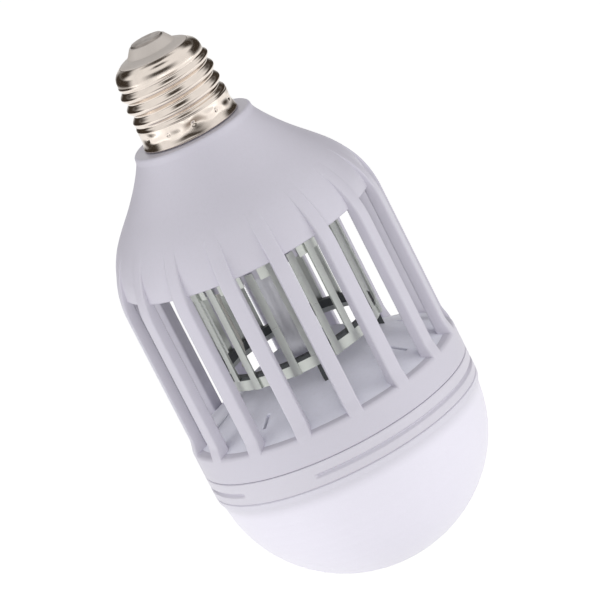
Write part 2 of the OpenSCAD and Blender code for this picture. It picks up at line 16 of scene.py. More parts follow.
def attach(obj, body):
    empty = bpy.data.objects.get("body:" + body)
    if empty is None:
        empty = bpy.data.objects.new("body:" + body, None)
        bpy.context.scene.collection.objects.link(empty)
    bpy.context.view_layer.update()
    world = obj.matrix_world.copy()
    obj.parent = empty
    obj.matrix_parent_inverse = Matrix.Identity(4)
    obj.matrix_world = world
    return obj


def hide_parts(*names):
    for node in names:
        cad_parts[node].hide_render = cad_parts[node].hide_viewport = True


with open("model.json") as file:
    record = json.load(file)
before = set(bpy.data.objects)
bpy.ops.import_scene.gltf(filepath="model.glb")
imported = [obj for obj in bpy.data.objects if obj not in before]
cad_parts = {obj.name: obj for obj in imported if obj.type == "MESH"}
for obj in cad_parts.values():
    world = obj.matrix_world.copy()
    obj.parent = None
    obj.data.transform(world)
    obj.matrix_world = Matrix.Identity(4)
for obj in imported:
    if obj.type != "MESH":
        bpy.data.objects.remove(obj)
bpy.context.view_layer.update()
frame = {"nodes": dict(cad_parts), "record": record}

MM = 0.001
MERGE_M = 1e-7
SHARP_ANGLE = math.radians(50)
FRONT = math.radians(-85.75)  # angle round the axis at which the camera stands

# Camera: the photograph's angle, with the axis leaning to the upper left
CAMERA_RISE = math.radians(15)
CAMERA_LEAN = math.radians(27)
CAMERA_DISTANCE = 1.3
AIM = Vector((0, 0, -0.0545))
SENSOR = 36.0
FOCAL_PIXELS = 4862
IMAGE_SIDE = 600
AIM_PIXEL = (280.3, 303.3)

# Screw shell: sizes of the CAD model, apart from the dome and its mouth, which follow the
# photograph
SKIRT_R = 13.25
SKIRT_H = 5.4
CREST_R = 13.2
THREAD_DEPTH = 1.1
PITCH = 3.629
TURNS = 3.5
DOME_R = 12.4
DOME_H = 3.9
MOUTH_R = 9.9
CONE_TOP = 25.8
PIN_R = 1.4
SHELL_WALL = 0.4

# Housing: sizes of the CAD model, with depths counted down from the origin
CAGE_R = 38.4
WALL = 2.0
NECK_R = 17.1
NECK_TOP = 0.8
NECK_ROUND = 0.9
FLARE = (26.2, 14.8)
SHOULDER = 39.0
WINDOW_TOP = 33.8
LIP_ROUND = 0.6  # outer edge of the lip at the window tops
LIP_BACK_ROUND = 0.5
RECESS = 1.5
RECESS_START = FLARE[1] + 6.4
BAND_TOP = 79.3
BAND_END = 87.5
BAND_R = CAGE_R + 0.8
BAND_BORE = BAND_R - WALL - 0.4
BAND_ROUND = 1.3
HOUSING_COLUMNS = 288
RIBS = 16
RIB_W = 4.2
RIB_INNER = CAGE_R - 3.3
RIB_EDGE = 0.55
RIB_FIRST = math.radians(11.25)
SPLIT_GAP = 0.12  # shadow line between the band and the ring below it
SPLIT_REACH = 0.6
SPLIT_ROUND = 0.4

# Catch deck
BORE_R = 3.9
DECK_TOP_R = 12.5
DECK_EDGE_R = BAND_BORE - 0.03
DECK_TOP_D = 68.6
DECK_EDGE_D = BAND_TOP - 0.08
DECK_T = 1.6
BOSS_D = 85.6
SLITS = 8
SLIT_L = 4.8
SLIT_W = 1.15
SLIT_MID = 28.35
SLIT_FIRST = math.radians(11.5)
SCREWS = 3
SCREW_RING = 27.0
SCREW_R = 1.25
SCREW_TUBE_R = 3.0
SCREW_FIRST = math.radians(30)

# Ring below the band
RING_END = 94.0
RING_IN_R = 36.2
RING_TOP_ROUND = 0.35
RING_FOOT_ROUND = 0.6
RING_MARGIN = 0.7  # from either edge of the ring to the first row of its face
GROOVE_DROP = 3.4
GROOVE_REACH = 0.8
GROOVE_T = 0.9
GROOVE_FADE = math.radians(1.2)
LAND_FIRST = math.radians(58)
LAND_HALF = math.radians(17.5)


def mesh_piece(name, points, quads, slot, replaces):
    """A new piece from an array of points and an array of four-point faces, in the place of a
    CAD node. Doubled points are merged, and edges steeper than the sharp angle stay crisp."""
    mesh = bpy.data.meshes.new(name)
    points = np.asarray(points, float) * MM
    key = np.round(points / MERGE_M).astype(np.int64)
    unique, first, inverse = np.unique(key, axis=0, return_index=True, return_inverse=True)
    faces = inverse.reshape(-1)[np.asarray(quads)]
    whole = np.array([len(set(f)) == 4 for f in faces.tolist()])
    corners = faces[whole].tolist()
    corners += [list(dict.fromkeys(f)) for f in faces[~whole].tolist() if len(set(f)) == 3]
    mesh.from_pydata(points[first].tolist(), [], corners)
    mesh.validate()
    outward = bmesh.new()
    outward.from_mesh(mesh)
    bmesh.ops.recalc_face_normals(outward, faces=outward.faces)
    outward.to_mesh(mesh)
    outward.free()
    mesh.polygons.foreach_set("use_smooth", np.ones(len(mesh.polygons), bool))
    mesh.set_sharp_from_angle(angle=SHARP_ANGLE)
    piece = bpy.data.objects.new(name, mesh)
    bpy.context.scene.collection.objects.link(piece)
    piece.data.materials.append(finishes[slot])
    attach(piece, "root")
    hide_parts(*replaces)
    return piece


def grid_quads(rows, columns, close_rows=False, close_columns=True, flip=False):
    """Four-point faces of a grid of rows and columns, which may close on itself either way."""
    index = np.arange(rows * columns).reshape(rows, columns)
    if close_rows:
        index = np.vstack([index, index[:1]])
    if close_columns:
        index = np.hstack([index, index[:, :1]])
    quads = np.stack([index[:-1, :-1], index[:-1, 1:], index[1:, 1:], index[1:, :-1]], axis=-1)
    quads = quads.reshape(-1, 4)
    return quads[:, ::-1] if flip else quads


def ring_angles(columns):
    """Even angles round the axis, without the last one, which is the first again."""
    return np.arange(columns) * 2 * math.pi / columns


def polar(radius, angle, height):
    """Points at a radius and an angle round the axis, at a height: x = r cos a, y = r sin a."""
    radius, angle, height = np.broadcast_arrays(radius, angle, height)
    return np.stack([radius * np.cos(angle), radius * np.sin(angle), height], axis=-1)


def cubic(points, count):
    """Points on the cubic curve with four control points, at even steps from 0 to 1."""
    t = np.linspace(0, 1, count)[:, None]
    p = np.asarray(points, float)
    return (1 - t) ** 3 * p[0] + 3 * t * (1 - t) ** 2 * p[1] + 3 * t * t * (1 - t) * p[2] + t ** 3 * p[3]


def arc(centre, radius, start, end, count):
    """Points on an arc of a profile, from one angle in degrees to another."""
    turn = np.radians(np.linspace(start, end, count))
    return np.stack([centre[0] + radius * np.cos(turn), centre[1] + radius * np.sin(turn)], axis=-1)


def turned(profile, columns):
    """Points and faces of a closed profile of radius and depth, turned round the axis."""
    profile = np.asarray(profile, float)
    points = polar(profile[:, :1], ring_angles(columns)[None, :], -profile[:, 1:])
    return points.reshape(-1, 3), grid_quads(len(profile), columns, close_rows=True, flip=True)


def joined(parts):
    """Several arrays of points and faces as one."""
    points, quads, start = [], [], 0
    for part_points, part_quads in parts:
        points.append(part_points)
        quads.append(part_quads + start)
        start += len(part_points)
    return np.vstack(points), np.vstack(quads)


# Materials


def add(tree, kind, inputs=None, **attributes):
    """Adds a node to a tree, sets its attributes, and sets or links each named input."""
    made = tree.nodes.new(kind)
    for key, value in attributes.items():
        setattr(made, key, value)
    for key, value in (inputs or {}).items():
        if isinstance(value, bpy.types.NodeSocket):
            tree.links.new(value, made.inputs[key])
        else:
            made.inputs[key].default_value = value
    return made


def effect(name, inputs, outputs):
    """An empty node group with named sockets: the group, its input node and its output node."""
    group = bpy.data.node_groups.new(name, "ShaderNodeTree")
    for label, kind, value in inputs:
        socket = group.interface.new_socket(label, in_out="INPUT", socket_type=kind)
        socket.default_value = value
    for label, kind in outputs:
        group.interface.new_socket(label, in_out="OUTPUT", socket_type=kind)
    return group, group.nodes.new("NodeGroupInput"), group.nodes.new("NodeGroupOutput")


def math_node(tree, operation, a, b, c=None):
    """The output of one Math node."""
    made = tree.nodes.new("ShaderNodeMath")
    made.operation = operation
    for place, value in enumerate((a, b, c)):
        if isinstance(value, bpy.types.NodeSocket):
            tree.links.new(value, made.inputs[place])
        elif value is not None:
            made.inputs[place].default_value = value
    return made.outputs[0]


def noise(tree, vector, scale, detail=2.0, roughness=0.5):
    """A noise value from 0 to 1 over a vector."""
    inputs = {"Vector": vector, "Scale": scale, "Detail": detail, "Roughness": roughness}
    return add(tree, "ShaderNodeTexNoise", inputs).outputs["Fac"]


def tinted(tree, colour, value):
    """A colour times a value."""
    made = add(tree, "ShaderNodeMix", data_type="RGBA", blend_type="MULTIPLY")
    made.inputs["Factor"].default_value = 1.0
    tree.links.new(colour, made.inputs["A"])
    tree.links.new(value, made.inputs["B"])
    return made.outputs["Result"]


COLOUR = "NodeSocketColor"
VALUE = "NodeSocketFloat"


def moulded_surface():
    """Moulded plastic: a slow drift of tone from the flow of the melt, a fine spark-eroded
    grain, and a roughness that follows both."""
    group, given, out = effect(
        "moulded_surface",
        [("Colour", COLOUR, (0.8, 0.8, 0.8, 1)), ("Roughness", VALUE, 0.4), ("Drift", VALUE, 0.05),
         ("Grain", VALUE, 0.3)],
        [("Colour", COLOUR), ("Roughness", VALUE), ("Height", VALUE)])
    where = add(group, "ShaderNodeTexCoord").outputs["Object"]
    flow = noise(group, where, 55, 3)
    grain = noise(group, where, 2600, 2, 0.6)
    centred = math_node(group, "SUBTRACT", flow, 0.5)
    drift = math_node(group, "MULTIPLY_ADD", centred, given.outputs["Drift"], 1.0)
    speck = math_node(group, "MULTIPLY_ADD", math_node(group, "SUBTRACT", grain, 0.5), 0.05, drift)
    group.links.new(tinted(group, given.outputs["Colour"], speck), out.inputs["Colour"])
    rough = math_node(group, "MULTIPLY_ADD", centred, 0.22, given.outputs["Roughness"])
    group.links.new(rough, out.inputs["Roughness"])
    group.links.new(math_node(group, "MULTIPLY", grain, given.outputs["Grain"]), out.inputs["Height"])
    return group


def drawn_metal():
    """Drawn or rolled metal: fine lines round the axis, cloudy tarnish and small pits."""
    group, given, out = effect(
        "drawn_metal",
        [("Colour", COLOUR, (0.8, 0.8, 0.8, 1)), ("Roughness", VALUE, 0.2), ("Tarnish", VALUE, 0.3),
         ("Lines", VALUE, 0.3)],
        [("Colour", COLOUR), ("Roughness", VALUE), ("Height", VALUE)])
    where = add(group, "ShaderNodeTexCoord").outputs["Object"]
    stretch = add(group, "ShaderNodeMapping", {"Vector": where, "Scale": (60, 60, 2400)}).outputs[0]
    lines = noise(group, stretch, 1, 2)
    cloud = noise(group, where, 230, 4, 0.6)
    pits = noise(group, where, 1900, 1)
    stain = add(group, "ShaderNodeMapRange",
                {"Value": cloud, "From Min": 0.45, "From Max": 0.75, "To Min": 0.0, "To Max": 1.0})
    stain = math_node(group, "MULTIPLY", stain.outputs["Result"], given.outputs["Tarnish"])
    fade = math_node(group, "MULTIPLY_ADD", stain, -0.35, 1.0)
    group.links.new(tinted(group, given.outputs["Colour"], fade), out.inputs["Colour"])
    rough = math_node(group, "MULTIPLY_ADD", stain, 0.25, given.outputs["Roughness"])
    rough = math_node(group, "MULTIPLY_ADD", math_node(group, "SUBTRACT", lines, 0.5), 0.12, rough)
    group.links.new(rough, out.inputs["Roughness"])
    height = math_node(group, "MULTIPLY", lines, given.outputs["Lines"])
    height = math_node(group, "MULTIPLY_ADD", pits, 0.15, height)
    group.links.new(height, out.inputs["Height"])
    return group


def settled_dust():
    """A mask of dust: broken specks that are thicker on faces that look up."""
    group, given, out = effect("settled_dust", [("Amount", VALUE, 0.3)], [("Mask", VALUE)])
    where = add(group, "ShaderNodeTexCoord").outputs["Object"]
    facing = add(group, "ShaderNodeSeparateXYZ",
                 {"Vector": add(group, "ShaderNodeNewGeometry").outputs["Normal"]}).outputs["Z"]
    upward = add(group, "ShaderNodeMapRange",
                 {"Value": facing, "From Min": -0.2, "From Max": 1.0, "To Min": 0.15, "To Max": 1.0})
    specks = add(group, "ShaderNodeMapRange",
                 {"Value": noise(group, where, 900, 5, 0.7), "From Min": 0.5, "From Max": 0.8})
    mask = math_node(group, "MULTIPLY", upward.outputs["Result"], specks.outputs["Result"])
    group.links.new(math_node(group, "MULTIPLY", mask, given.outputs["Amount"]), out.inputs["Mask"])
    return group


def painted_globe_shading():
    """A tone along the axis, painted shade and light: the globe's collar is painted darker where the
    light board's rim stands behind it, and the tone clears to full brightness towards the foot, painted
    light from below."""
    group, given, out = effect("painted_globe_shading", [("Upper", VALUE, -0.0955), ("Lower", VALUE, -0.0995),
                                                 ("Foot", VALUE, -0.132), ("Dark", VALUE, 0.77)],
                               [("Tone", VALUE)])
    height = add(group, "ShaderNodeSeparateXYZ", {0: add(group, "ShaderNodeTexCoord").outputs["Object"]})
    near = add(group, "ShaderNodeMapRange",
               {"Value": height.outputs["Z"], "From Min": given.outputs["Upper"],
                "From Max": given.outputs["Lower"], "To Min": given.outputs["Dark"], "To Max": 0.92},
               interpolation_type="SMOOTHSTEP")
    far = add(group, "ShaderNodeMapRange",
              {"Value": height.outputs["Z"], "From Min": given.outputs["Lower"],
               "From Max": given.outputs["Foot"], "To Min": 0.0, "To Max": 0.08})
    tone = math_node(group, "ADD", near.outputs["Result"], far.outputs["Result"])
    group.links.new(tone, out.inputs["Tone"])
    return group


MOULDED = moulded_surface()
PAINTED_GLOBE_SHADING = painted_globe_shading()
DRAWN = drawn_metal()
DUST = settled_dust()
DUST_COLOUR = (0.42, 0.40, 0.38, 1)


def finish(slot, group, colour, values, bump=0.0, dust=0.0, **shader_values):
    """One material: an effect group that feeds a Principled shader, with dust over its colour
    and a Bump node from its height. Uniform values go on the shader's own sockets."""
    material = bpy.data.materials.new(slot)
    material.use_nodes = True
    tree = material.node_tree
    shader = tree.nodes["Principled BSDF"]
    surface = add(tree, "ShaderNodeGroup", node_tree=group)
    surface.inputs["Colour"].default_value = (*colour, 1)
    for key, value in values.items():
        surface.inputs[key].default_value = value
    colour_out = surface.outputs["Colour"]
    if dust:
        mask = add(tree, "ShaderNodeGroup", node_tree=DUST)
        mask.inputs["Amount"].default_value = dust
        blend = add(tree, "ShaderNodeMix", data_type="RGBA")
        tree.links.new(mask.outputs["Mask"], blend.inputs["Factor"])
        tree.links.new(colour_out, blend.inputs["A"])
        blend.inputs["B"].default_value = DUST_COLOUR
        colour_out = blend.outputs["Result"]
    tree.links.new(colour_out, shader.inputs["Base Color"])
    tree.links.new(surface.outputs["Roughness"], shader.inputs["Roughness"])
    if bump:
        relief = add(tree, "ShaderNodeBump", {"Strength": bump, "Distance": 0.0001})
        tree.links.new(surface.outputs["Height"], relief.inputs["Height"])
        tree.links.new(relief.outputs["Normal"], shader.inputs["Normal"])
    for key, value in shader_values.items():
        shader.inputs[key.replace("_", " ").title()].default_value = value
    return material


def plastic(slot, colour, roughness=0.4, drift=0.06, grain=0.4, bump=0.25, dust=0.12, **more):
    """Moulded plastic, resin or rubber."""
    return finish(slot, MOULDED, colour, {"Roughness": roughness, "Drift": drift, "Grain": grain},
                  bump, dust, **more)


def metal(slot, colour, roughness=0.2, tarnish=0.3, lines=0.4, bump=0.2, **more):
    """Plated, drawn or pressed metal."""
    return finish(slot, DRAWN, colour, {"Roughness": roughness, "Tarnish": tarnish, "Lines": lines},
                  bump, 0.0, metallic=1.0, **more)


finishes = {
    "contact_metal": metal("contact_metal", (0.40, 0.36, 0.33), 0.42, 0.9, 0.5),
    "insulator_plastic": plastic("insulator_plastic", (0.58, 0.53, 0.49), 0.42, 0.12),
    "plated_shell": metal("plated_shell", (0.78, 0.70, 0.63), 0.13, 0.3, 0.2, 0.1),
    "housing_plastic": plastic("housing_plastic", (0.62, 0.60, 0.675), 0.42, 0.05),
    # deck_plastic is lighter than the housing's plastic: painted light, standing in for the light that
    # reaches the deck inside the cage.
    "deck_plastic": plastic("deck_plastic", (0.86, 0.86, 0.95), 0.42, 0.05),
    "ring_plastic": plastic("ring_plastic", (0.66, 0.64, 0.71), 0.40, 0.05),
    "frosted_globe": plastic("frosted_globe", (0.91, 0.885, 0.985), 0.36, 0.03, 0.25, 0.15, 0.04),
    "grid_metal": metal("grid_metal", (0.54, 0.56, 0.53), 0.3, 0.1, 0.2, 0.08),
    "dark_insulator": plastic("dark_insulator", (0.045, 0.05, 0.052), 0.5, 0.2),
    "column_metal": metal("column_metal", (0.62, 0.62, 0.66), 0.34, 0.3, 0.4),
    "screw_steel": metal("screw_steel", (0.56, 0.56, 0.55), 0.3, 0.4, 0.3),
    "circuit_board": plastic("circuit_board", (0.03, 0.14, 0.06), 0.3, 0.3),
    "capacitor_sleeve": plastic("capacitor_sleeve", (0.025, 0.03, 0.07), 0.3, 0.2),
    "film_capacitor": plastic("film_capacitor", (0.46, 0.10, 0.02), 0.3, 0.2),
    "black_resin": plastic("black_resin", (0.02, 0.02, 0.022), 0.5, 0.3),
    "ferrite": plastic("ferrite", (0.045, 0.042, 0.04), 0.6, 0.4, 0.8, 0.5),
    "copper_wire": metal("copper_wire", (0.72, 0.30, 0.13), 0.25, 0.2, 1.0, 0.5),
    "resistor_coat": plastic("resistor_coat", (0.11, 0.27, 0.20), 0.35, 0.2),
    "red_lead": plastic("red_lead", (0.45, 0.02, 0.02), 0.45, 0.15),
    "blue_lead": plastic("blue_lead", (0.02, 0.04, 0.30), 0.45, 0.15),
    "white_lead": plastic("white_lead", (0.72, 0.70, 0.64), 0.45, 0.1),
    "heat_aluminium": metal("heat_aluminium", (0.66, 0.67, 0.68), 0.34, 0.3, 0.6),
    "light_board": plastic("light_board", (0.80, 0.80, 0.78), 0.3, 0.05),
    "light_chip": plastic("light_chip", (0.85, 0.66, 0.10), 0.25, 0.15),
    "uv_lens": plastic("uv_lens", (0.50, 0.44, 0.80), 0.12, 0.1, 0.1, 0.05, 0.0),
}

# Painted shade and light on the globe: its colour is multiplied by a tone that is darker at the collar
# and rises to full towards the foot.
globe_tree = finishes["frosted_globe"].node_tree
globe_shader = globe_tree.nodes["Principled BSDF"]
painted_shading_tone = add(globe_tree, "ShaderNodeGroup", node_tree=PAINTED_GLOBE_SHADING)
plain_colour = globe_shader.inputs["Base Color"].links[0].from_socket
painted_shading_colour = tinted(globe_tree, plain_colour, painted_shading_tone.outputs["Tone"])
globe_tree.links.new(painted_shading_colour, globe_shader.inputs["Base Color"])

for part in frame["record"]["subparts"]:
    carried = frame["nodes"][part["node"]]
    carried.data.materials.clear()
    carried.data.materials.append(finishes[part["material_slot"]])


# Screw shell

THREAD_END = SKIRT_H + TURNS * PITCH
DOME_END = THREAD_END + DOME_H
DIMPLES = 11
DIMPLE_FIRST = FRONT + math.radians(4.8)
DIMPLE_H = 3.1
DIMPLE_SIZE = 0.5
DIMPLE_DEPTH = 0.3
RIM_FLARE = 0.5
SKIRT_WAVE = 0.045
FLARE_H = 2.4


def thread_radius(height, angle):
    """Radius of the rolled thread: it swings between crest and root as the height above the
    turn's own start grows, and fades out over half a pitch at both ends."""
    phase = 2 * math.pi * (height - SKIRT_H) / PITCH - angle
    swing = 0.5 + 0.5 * np.cos(phase)
    wave = CREST_R - THREAD_DEPTH * (1 - swing ** 0.8)
    plain = np.where(height < 2 * SKIRT_H, CREST_R, DOME_R)
    near_end = np.minimum(height - SKIRT_H, THREAD_END - height) / (PITCH / 2)
    fade = np.clip(near_end, 0, 1)
    fade = fade * fade * (3 - 2 * fade)
    return wave * fade + plain * (1 - fade)


def screw_shell():
    """The rolled shell as one closed sheet: outside from the rim up the skirt, the thread and
    the dome to the mouth, then inside back down at the wall's thickness. The skirt has shallow
    waves, a sum of three sines, and the small punched dimples of the crimp."""
    columns = DIMPLES * 26
    angle = ring_angles(columns)[None, :]
    rim = np.array([[SKIRT_R + RIM_FLARE - 0.1, -0.5], [SKIRT_R + RIM_FLARE, -0.4],
                    [SKIRT_R + RIM_FLARE, -0.2], [SKIRT_R + RIM_FLARE - 0.04, -0.05]])
    skirt = np.linspace(0.1, SKIRT_H - 0.05, 24)
    spread = (RIM_FLARE - 0.08) * np.clip(1 - skirt / FLARE_H, 0, 1)[:, None] ** 2
    thread = np.linspace(SKIRT_H, THREAD_END, 76)
    dome = cubic([[DOME_R, THREAD_END], [DOME_R, THREAD_END + 1.5], [MOUTH_R + 2.1, DOME_END - 1.0],
                  [MOUTH_R, DOME_END]], 26)[1:]
    low = skirt[:, None]
    waves = (np.sin(5 * angle + 1.7 * low + 0.4) + np.sin(9 * angle - 1.3 * low + 2.1)
             + np.sin(14 * angle + 0.8 * low + 1.0))
    flat = [np.broadcast_to(rim[:, :1], (len(rim), columns)),
            SKIRT_R + spread + SKIRT_WAVE * waves * np.sin(math.pi * np.clip(low / SKIRT_H, 0, 1)),
            thread_radius(thread[:, None], angle),
            np.broadcast_to(dome[:, :1], (len(dome), columns))]
    radius = np.vstack(flat)
    height = np.concatenate([rim[:, 1], skirt, thread, dome[:, 1]])[:, None] + 0 * angle
    around = (angle - DIMPLE_FIRST + math.pi / DIMPLES) % (2 * math.pi / DIMPLES) - math.pi / DIMPLES
    reach = ((around * SKIRT_R) ** 2 + (height - DIMPLE_H) ** 2) / DIMPLE_SIZE ** 2
    radius = radius - DIMPLE_DEPTH * np.exp(-reach ** 1.5)
    inner_r, inner_h = radius[::-1] - SHELL_WALL, height[::-1].copy()
    inner_h[:len(dome)] -= SHELL_WALL
    points = polar(np.vstack([radius, inner_r]), angle, np.vstack([height, inner_h]))
    rows = points.shape[0]
    quads = grid_quads(rows, columns, close_rows=True)
    return mesh_piece("rolled_shell", points.reshape(-1, 3), quads, "plated_shell", ("screw_shell",))


def cap_insulator():
    """The moulded insulator as a turned ring round the pin's bore: a cone with a rounded top edge,
    a small fillet, a brim that lies on the shell's mouth, and the plug inside the shell."""
    top = arc((4.95, 0.35), 0.35, -90, -25, 6)
    fillet = [[6.72, 2.25], [6.82, 2.45], [7.02, 2.58], [7.4, 2.66]]
    brim = [[8.5, 3.0], [9.5, 3.46], [9.7, 3.6], [9.76, 3.78], [9.45, 3.86]]
    plug = [[9.45, 4.6], [11.3, 6.4], [11.6, 9.2], [PIN_R, 9.2]]
    profile = np.vstack([[[PIN_R, 0], [4.6, 0]], top, fillet, brim, plug])
    points, quads = turned(profile - [0, CONE_TOP], 144)
    return mesh_piece("moulded_insulator", points, quads, "insulator_plastic", ("cap_insulator",))


# Housing

NECK_CURVE = [[NECK_R, NECK_TOP + 1.6], [NECK_R + 1.3, NECK_TOP + 4.8],
              [FLARE[0] - 3.2, FLARE[1] - 3.4], FLARE]
BELL_CURVE = [FLARE, [FLARE[0] + 4.9, FLARE[1] + 5.2],
              [CAGE_R, SHOULDER - 12.4], [CAGE_R, SHOULDER]]
OUTLINE = np.vstack([cubic(NECK_CURVE, 60), cubic(BELL_CURVE, 90)[1:]])


def outer_radius(depth):
    """Radius of the housing's outline at a depth, over the ribs."""
    return np.interp(depth, OUTLINE[:, 1], OUTLINE[:, 0])


def recess(depth):
    """How far the shoulder wall lies behind the ribs: it grows with a power of the depth."""
    share = np.clip((depth - RECESS_START) / (WINDOW_TOP - RECESS_START), 0, 1)
    return RECESS * share ** 1.4


def bell_profile():
    """The shoulder wall: collar bore, rounded neck edge, the outline less the recess, a rounded
    lip at the window tops, and the inside at the wall's thickness."""
    bore = SKIRT_R - SHELL_WALL - 0.15
    neck = arc((NECK_R - NECK_ROUND, NECK_TOP + NECK_ROUND), NECK_ROUND, -90, -8, 9)
    outline = OUTLINE[OUTLINE[:, 1] < WINDOW_TOP - LIP_ROUND]
    depth = outline[:, 1]
    outer = np.stack([outline[:, 0] - recess(depth), depth], axis=-1)
    lip_r = outer_radius(WINDOW_TOP) - RECESS
    lip = np.vstack([arc((lip_r - LIP_ROUND, WINDOW_TOP - LIP_ROUND), LIP_ROUND, 0, 90, 7),
                     arc((lip_r - WALL + LIP_BACK_ROUND, WINDOW_TOP - LIP_BACK_ROUND),
                         LIP_BACK_ROUND, 90, 180, 6)])
    back = np.arange(len(outer) - 2, 12, -3)
    inner = outer[back] - [WALL, 0]
    return np.vstack([[[bore - 1.2, -SKIRT_H + 1], [bore, -SKIRT_H + 1], [bore, NECK_TOP]], neck,
                      outer[2:], lip, inner, [[bore - 1.2, NECK_TOP + 3]]])


def band_profile():
    """The band: a top edge that falls outward as the deck does, a large round at the outside,
    a plain face and a small round at the split line."""
    top = arc((BAND_R - BAND_ROUND, BAND_TOP + 1.5), BAND_ROUND, -67, 0, 12)
    foot = BAND_END - SPLIT_GAP
    face = [[BAND_R, BAND_TOP + 4], [BAND_R, foot - SPLIT_ROUND - 0.05]]
    edge = arc((BAND_R - SPLIT_ROUND, foot - SPLIT_ROUND), SPLIT_ROUND, 0, 90, 6)
    gap = [[BAND_R - SPLIT_REACH, foot], [BAND_R - SPLIT_REACH, BAND_END]]
    return np.vstack([[[BAND_BORE, DECK_EDGE_D]], top, face, edge, gap, [[BAND_BORE, BAND_END]]])


def rounded_section(half_width, outer, inner, edge):
    """A closed section across a rib for each row: a rectangle from the inner to the outer radius
    with four rounded edges, given as sideways and radial coordinates."""
    turn = np.radians(np.linspace(0, 90, 5))
    ends = []
    for side, radial, start in ((1, 1, 0), (-1, 1, 90), (-1, -1, 180), (1, -1, 270)):
        angle = turn + math.radians(start)
        across = side * (half_width - edge) + edge * np.cos(angle)[None, :]
        middle = (outer - edge) if radial > 0 else (inner + edge)
        ends.append((across + 0 * outer, middle + edge * np.sin(angle)[None, :]))
    return np.hstack([e[0] for e in ends]), np.hstack([e[1] for e in ends])


def ribs():
    """Sixteen ribs as closed bars: the rounded section is carried down the outline, from inside
    the shoulder to inside the band, and its face swings out to the band's face at the foot."""
    depth = np.concatenate([np.linspace(RECESS_START - 1, SHOULDER, 34),
                            np.linspace(SHOULDER + 3, BAND_TOP - 5, 12),
                            np.linspace(BAND_TOP - 4, BAND_TOP + 2.2, 14)])[:, None]
    foot = np.clip((depth - (BAND_TOP - 3.6)) / 4.6, 0, 1)
    foot = foot * foot * (3 - 2 * foot)
    outer = outer_radius(depth) + (BAND_R - 0.03 - CAGE_R) * foot
    top_inner = outer_radius(depth) - recess(depth) - WALL + 0.4
    inner = np.where(depth < WINDOW_TOP - 0.4, np.minimum(top_inner, RIB_INNER), RIB_INNER)
    inner = np.where(depth > BAND_TOP, BAND_BORE + 0.3, inner)
    across, radial = rounded_section(RIB_W / 2, outer, inner, RIB_EDGE)
    rows, ring = across.shape
    points, quads = [], []
    body = grid_quads(rows, ring)
    for count in range(RIBS):
        turn = RIB_FIRST + count * 2 * math.pi / RIBS
        x = radial * math.cos(turn) - across * math.sin(turn)
        y = radial * math.sin(turn) + across * math.cos(turn)
        points.append(np.stack([x, y, -depth + 0 * across], axis=-1).reshape(-1, 3))
        quads.append(body + count * rows * ring)
    return np.vstack(points), np.vstack(quads)


def deck_depth(radius):
    """Depth of the deck's top at a radius: level round the column, then a straight cone."""
    slope = (DECK_EDGE_D - DECK_TOP_D) / (DECK_EDGE_R - DECK_TOP_R)
    return DECK_TOP_D + slope * np.maximum(0, radius - DECK_TOP_R)


def catch_deck():
    """The deck as one closed sheet: top cone, skirt, and underside.
    The columns stand a slit's half width from each slit's middle, so the faces between them are
    left out from one slit end to the other and four walls close each slit. Three tubes for the
    screws stand below, cut to the cone at their tops."""
    slit_in, slit_out = SLIT_MID - SLIT_L / 2, SLIT_MID + SLIT_L / 2
    top_r = np.concatenate([[BORE_R], np.linspace(DECK_TOP_R - 3, DECK_TOP_R + 3, 9), [slit_in, slit_out],
                            np.linspace(slit_out + 1.5, DECK_EDGE_R - 0.9, 5)])
    lower_r = np.concatenate([[DECK_EDGE_R - WALL], [slit_out, slit_in], [DECK_TOP_R - 0.4, BORE_R]])
    radius = np.concatenate([top_r, [DECK_EDGE_R, DECK_EDGE_R, DECK_EDGE_R - WALL], lower_r])
    depth = np.concatenate([deck_depth(top_r), [DECK_EDGE_D, BOSS_D, BOSS_D],
                            deck_depth(lower_r) + DECK_T])
    first, last = len(top_r) - 7, len(top_r) - 6
    under_first, under_last = len(radius) - 3, len(radius) - 4
    steps, sector = 8, math.pi / SLITS
    half = np.arcsin(SLIT_W / 2 / np.maximum(radius, SLIT_W))[:, None]
    share = np.arange(steps + 1) / steps
    after = half + (sector - half) * share
    before = 2 * sector - (half + (sector - half) * share[steps - 1::-1])
    one = np.hstack([after, before])
    angle = np.hstack([SLIT_FIRST + 2 * sector * k + one for k in range(SLITS)])
    points = polar(radius[:, None], angle, -depth[:, None])
    rows, columns = angle.shape
    quads = grid_quads(rows, columns, close_rows=True).reshape(rows, columns, 4)
    gap = np.arange(SLITS) * one.shape[1] + one.shape[1] - 1
    keep = np.ones((rows, columns), bool)
    keep[first, gap] = keep[under_last, gap] = False
    after_gap = (gap + 1) % columns

    def wall(row_a, column_a, row_b, column_b, row_c, column_c, row_d, column_d):
        corners = ((row_a, column_a), (row_b, column_b), (row_c, column_c), (row_d, column_d))
        return np.stack([row * columns + column for row, column in corners], axis=-1)

    walls = [wall(first, gap, first, after_gap, under_first, after_gap, under_first, gap),
             wall(last, gap, last, after_gap, under_last, after_gap, under_last, gap),
             wall(first, gap, last, gap, under_last, gap, under_first, gap),
             wall(first, after_gap, last, after_gap, under_last, after_gap, under_first, after_gap)]
    parts = [(points.reshape(-1, 3), np.vstack([quads[keep]] + walls))]
    turn = ring_angles(32)
    radii = np.array([SCREW_R, SCREW_R, SCREW_TUBE_R, SCREW_TUBE_R])[:, None]
    for count in range(SCREWS):
        middle = polar(SCREW_RING, SCREW_FIRST + count * 2 * math.pi / SCREWS, 0)
        x, y = middle[0] + radii * np.cos(turn), middle[1] + radii * np.sin(turn)
        upper = deck_depth(np.hypot(x, y)) + DECK_T / 2
        level = np.where(np.array([0, 1, 1, 0])[:, None], upper, BOSS_D)
        tube = np.stack([x, y, -level], axis=-1).reshape(-1, 3)
        parts.append((tube, grid_quads(4, 32, close_rows=True)))
    return mesh_piece("slotted_deck", *joined(parts), "deck_plastic", ("catch_deck",))


